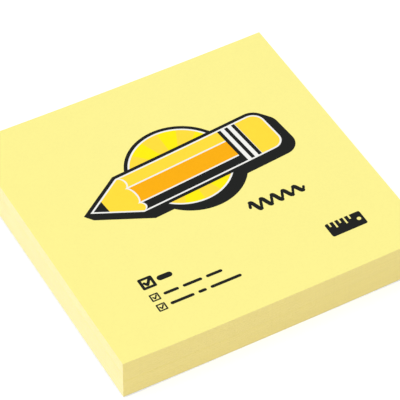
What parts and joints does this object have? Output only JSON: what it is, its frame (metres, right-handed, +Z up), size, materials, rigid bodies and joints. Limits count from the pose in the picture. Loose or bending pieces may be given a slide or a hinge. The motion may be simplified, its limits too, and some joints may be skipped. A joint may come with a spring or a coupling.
{
  "type": "sticky note pad",
  "caption": "Square pad of yellow self-stick notes: a printed cover sheet, a block of glued note leaves and a smooth backing sheet, lying flat.",
  "frame": {"origin": "middle of the pad's underside, on the surface that it rests on", "axes": "+Z up through the thickness, +Y towards the glued edge, +X to the right across a note"},
  "size_m": [0.076, 0.076, 0.0104],
  "materials": {
    "cover_paper": "matt uncoated pale yellow paper, printed on its upper face",
    "note_paper": "matt uncoated pale yellow paper with clean cut edges",
    "backing_paper": "smooth off-white release paper, slightly glossy"
  },
  "bodies": {
    "root": {"cover_sheet": "cover_paper", "note_block": "note_paper", "backing_sheet": "backing_paper"}
  },
  "joints": []
}
